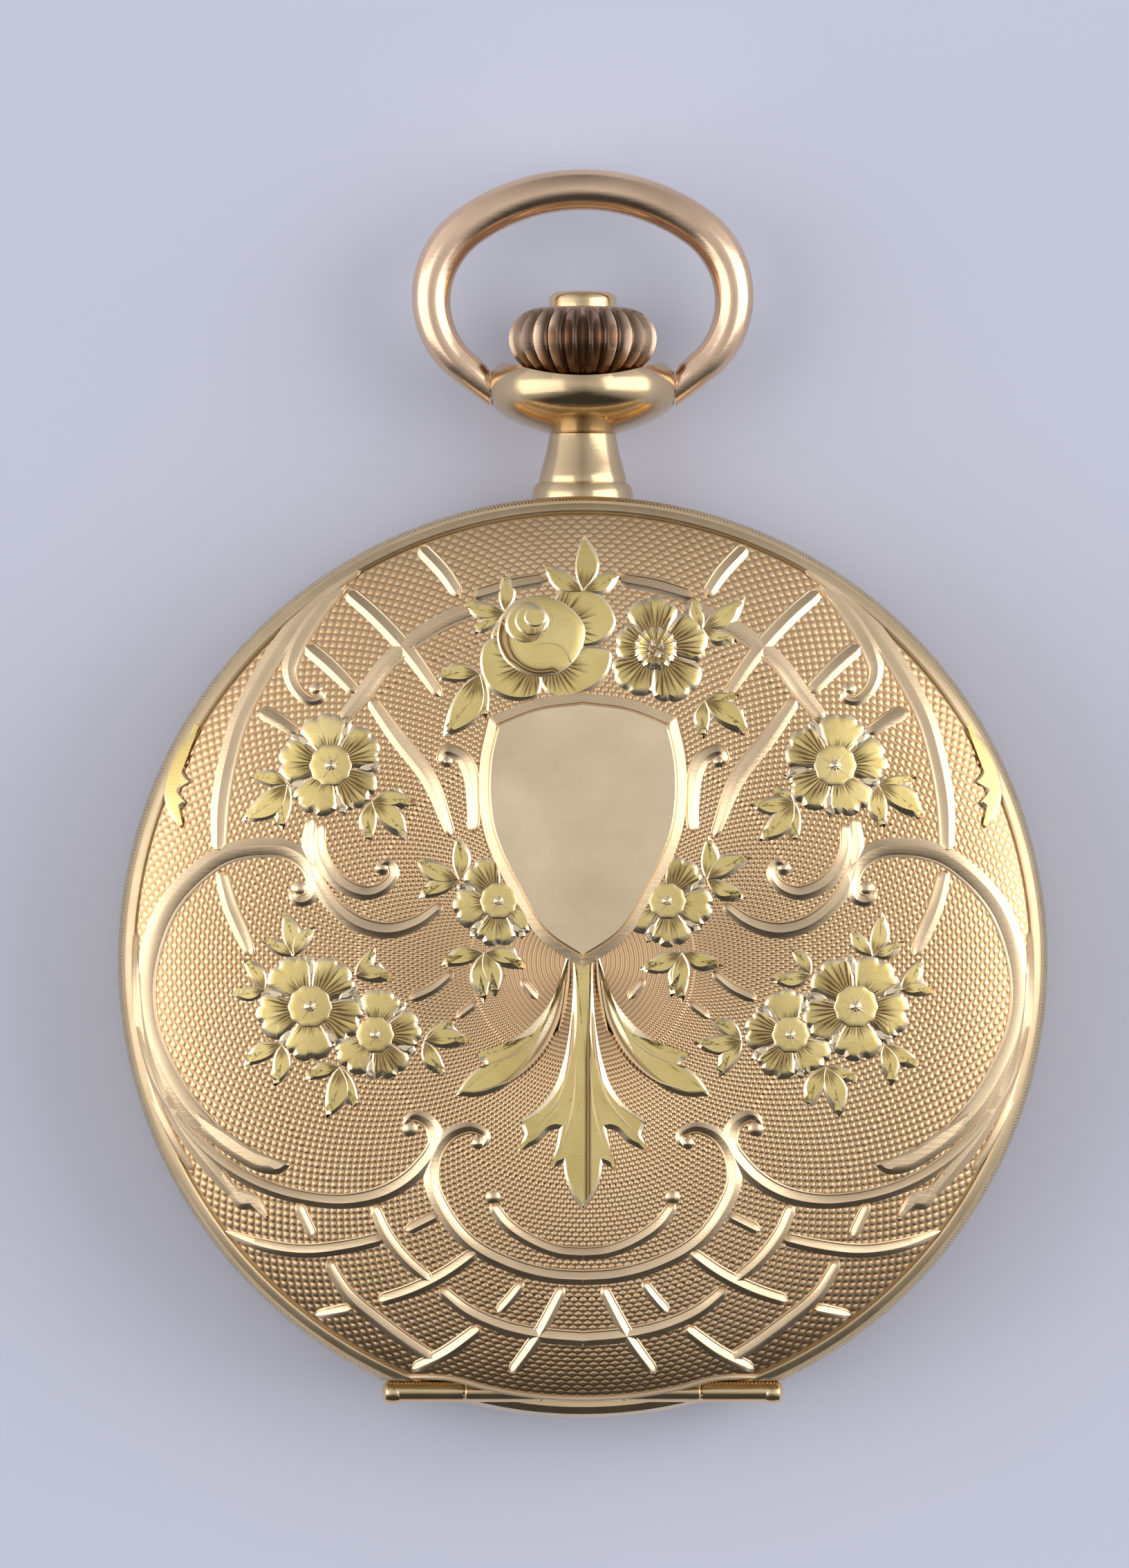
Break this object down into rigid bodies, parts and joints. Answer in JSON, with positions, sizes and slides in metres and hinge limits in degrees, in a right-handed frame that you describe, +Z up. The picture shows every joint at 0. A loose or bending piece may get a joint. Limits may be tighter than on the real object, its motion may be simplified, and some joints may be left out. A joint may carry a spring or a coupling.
{
  "type": "hunter pocket watch",
  "caption": "Closed pocket watch with sprung front cover, hinged back and dust cover, crown with push button, and a swinging bow.",
  "frame": {"origin": "centre of the flat on the back cover, where the closed watch rests", "axes": "+Z up through the front cover, +Y towards the crown and bow, hinges at -Y"},
  "size_m": [0.05, 0.0675, 0.0122],
  "materials": {
    "case_gold": "polished and engraved gold",
    "rose_gold": "polished rose gold",
    "crown_gold": "fluted rose gold, darkened in the flutes",
    "gilt": "frosted gilding",
    "steel": "polished steel",
    "blued_steel": "heat-blued steel",
    "enamel": "fired white enamel",
    "ruby": "polished ruby",
    "crystal_glass": "clear polished glass"
  },
  "bodies": {
    "case": {"case_middle": "case_gold", "pendant": "case_gold", "front_hinge_pin": "case_gold", "back_hinge_pin": "case_gold", "lift_spring": "blued_steel", "lock_spring": "blued_steel", "bezel": "case_gold", "crystal": "crystal_glass", "case_screws": "blued_steel", "dial": "enamel", "main_plate": "gilt", "barrel_bridge": "gilt", "train_bridge": "gilt", "balance_cock": "gilt", "pallet_bridge": "gilt", "bridge_screws": "blued_steel", "jewels": "ruby", "crown_wheel_screw": "steel", "click_screw": "blued_steel", "click_spring": "blued_steel", "hairspring": "blued_steel", "regulator": "steel"},
    "front_cover": {"front_cover": "case_gold"},
    "back_cover": {"back_cover": "case_gold"},
    "cuvette": {"cuvette": "case_gold"},
    "bow": {"bow": "rose_gold"},
    "lid_catch": {"lid_catch": "steel"},
    "winding_stem": {"winding_stem": "steel", "winding_pinion": "steel", "sliding_pinion": "steel"},
    "crown": {"crown": "crown_gold"},
    "push_button": {"push_button": "case_gold"},
    "ratchet": {"ratchet_wheel": "steel", "barrel_arbor": "steel"},
    "crown_wheel": {"crown_wheel": "steel"},
    "click": {"click": "steel"},
    "barrel": {"barrel": "gilt", "mainspring": "steel"},
    "centre": {"centre_wheel": "gilt", "cannon_pinion": "steel", "minute_hand": "blued_steel"},
    "hour": {"hour_wheel": "gilt", "hour_hand": "blued_steel"},
    "minute_wheel": {"minute_wheel": "gilt"},
    "third": {"third_wheel": "gilt"},
    "fourth": {"fourth_wheel": "gilt", "seconds_hand": "blued_steel"},
    "escape": {"escape_wheel": "gilt"},
    "pallets": {"pallet_fork": "steel", "pallet_stones": "ruby"},
    "balance": {"balance_wheel": "gilt", "balance_screws": "gilt", "roller": "steel"}
  },
  "joints": [
    {"name": "front_cover_hinge", "type": "hinge", "parent": "case", "child": "front_cover", "pos_m": [0, -0.0232, 0.00775], "axis": [1, 0, 0], "range_deg": [0, 100]},
    {"name": "back_cover_hinge", "type": "hinge", "parent": "case", "child": "back_cover", "pos_m": [0, -0.0232, 0.00335], "axis": [-1, 0, 0], "range_deg": [0, 95]},
    {"name": "cuvette_hinge", "type": "hinge", "parent": "case", "child": "cuvette", "pos_m": [0, -0.0232, 0.00335], "axis": [-1, 0, 0], "range_deg": [0, 85.5]},
    {"name": "bow_swing", "type": "hinge", "parent": "case", "child": "bow", "pos_m": [0, 0.031, 0.0054], "axis": [1, 0, 0], "range_deg": [-120, 120]},
    {"name": "crown_turn", "type": "hinge", "parent": "case", "child": "winding_stem", "pos_m": [0, 0.02, 0.0054], "axis": [0, 1, 0], "continuous": true},
    {"name": "crown_pull", "type": "slide", "parent": "winding_stem", "child": "crown", "axis": [0, 1, 0], "range_m": [0, 0.001]},
    {"name": "button_press", "type": "slide", "parent": "crown", "child": "push_button", "axis": [0, -1, 0], "range_m": [0, 0.0006], "stiffness_N_per_m": 100, "springref_m": -0.001},
    {"name": "catch_slide", "type": "slide", "parent": "case", "child": "lid_catch", "axis": [0, -1, 0], "range_m": [0, 0.0006]},
    {"name": "crown_wheel_turn", "type": "hinge", "parent": "case", "child": "crown_wheel", "pos_m": [0, 0.01263, 0.00235], "axis": [0, 0, 1], "continuous": true},
    {"name": "ratchet_turn", "type": "hinge", "parent": "case", "child": "ratchet", "pos_m": [-0.0072, 0.0054, 0.00235], "axis": [0, 0, 1], "continuous": true},
    {"name": "click_lift", "type": "hinge", "parent": "case", "child": "click", "pos_m": [-0.0146, 0.0074, 0.00235], "axis": [0, 0, 1], "range_deg": [0, 12], "stiffness_Nm_per_rad": 0.00002, "springref_deg": -11.46},
    {"name": "minute_turn", "type": "hinge", "parent": "case", "child": "centre", "pos_m": [0, 0, 0.005], "axis": [0, 0, -1], "continuous": true},
    {"name": "hour_turn", "type": "hinge", "parent": "case", "child": "hour", "pos_m": [0, 0, 0.00705], "axis": [0, 0, -1], "continuous": true},
    {"name": "minute_wheel_turn", "type": "hinge", "parent": "case", "child": "minute_wheel", "pos_m": [-0.00198, -0.00198, 0.0067], "axis": [0, 0, -1], "continuous": true},
    {"name": "barrel_turn", "type": "hinge", "parent": "case", "child": "barrel", "pos_m": [-0.0072, 0.0054, 0.0048], "axis": [0, 0, -1], "continuous": true},
    {"name": "third_turn", "type": "hinge", "parent": "case", "child": "third", "pos_m": [0.00485, -0.00345, 0.0045], "axis": [0, 0, -1], "continuous": true},
    {"name": "fourth_turn", "type": "hinge", "parent": "case", "child": "fourth", "pos_m": [0.009, 0, 0.0053], "axis": [0, 0, -1], "continuous": true},
    {"name": "escape_turn", "type": "hinge", "parent": "case", "child": "escape", "pos_m": [0.01211, -0.00311, 0.00485], "axis": [0, 0, -1], "continuous": true},
    {"name": "pallet_rock", "type": "hinge", "parent": "case", "child": "pallets", "pos_m": [0.01069, -0.00529, 0.00485], "axis": [0, 0, 1], "range_deg": [-5, 5]},
    {"name": "balance_swing", "type": "hinge", "parent": "case", "child": "balance", "pos_m": [0.0084, -0.0088, 0.004], "axis": [0, 0, 1], "range_deg": [-135, 135], "stiffness_Nm_per_rad": 0.00000032}
  ],
  "couplings": [
    {"joint": "cuvette_hinge", "follows": "back_cover_hinge", "ratio": 0.9},
    {"joint": "catch_slide", "follows": "button_press", "ratio": 1},
    {"joint": "crown_wheel_turn", "follows": "crown_turn", "ratio": 0.44444},
    {"joint": "ratchet_turn", "follows": "crown_turn", "ratio": -0.31111},
    {"joint": "hour_turn", "follows": "minute_turn", "ratio": 0.083333},
    {"joint": "minute_wheel_turn", "follows": "minute_turn", "ratio": -0.33333},
    {"joint": "barrel_turn", "follows": "minute_turn", "ratio": -0.125},
    {"joint": "third_turn", "follows": "minute_turn", "ratio": -7.5},
    {"joint": "fourth_turn", "follows": "minute_turn", "ratio": 60},
    {"joint": "escape_turn", "follows": "minute_turn", "ratio": -600}
  ]
}
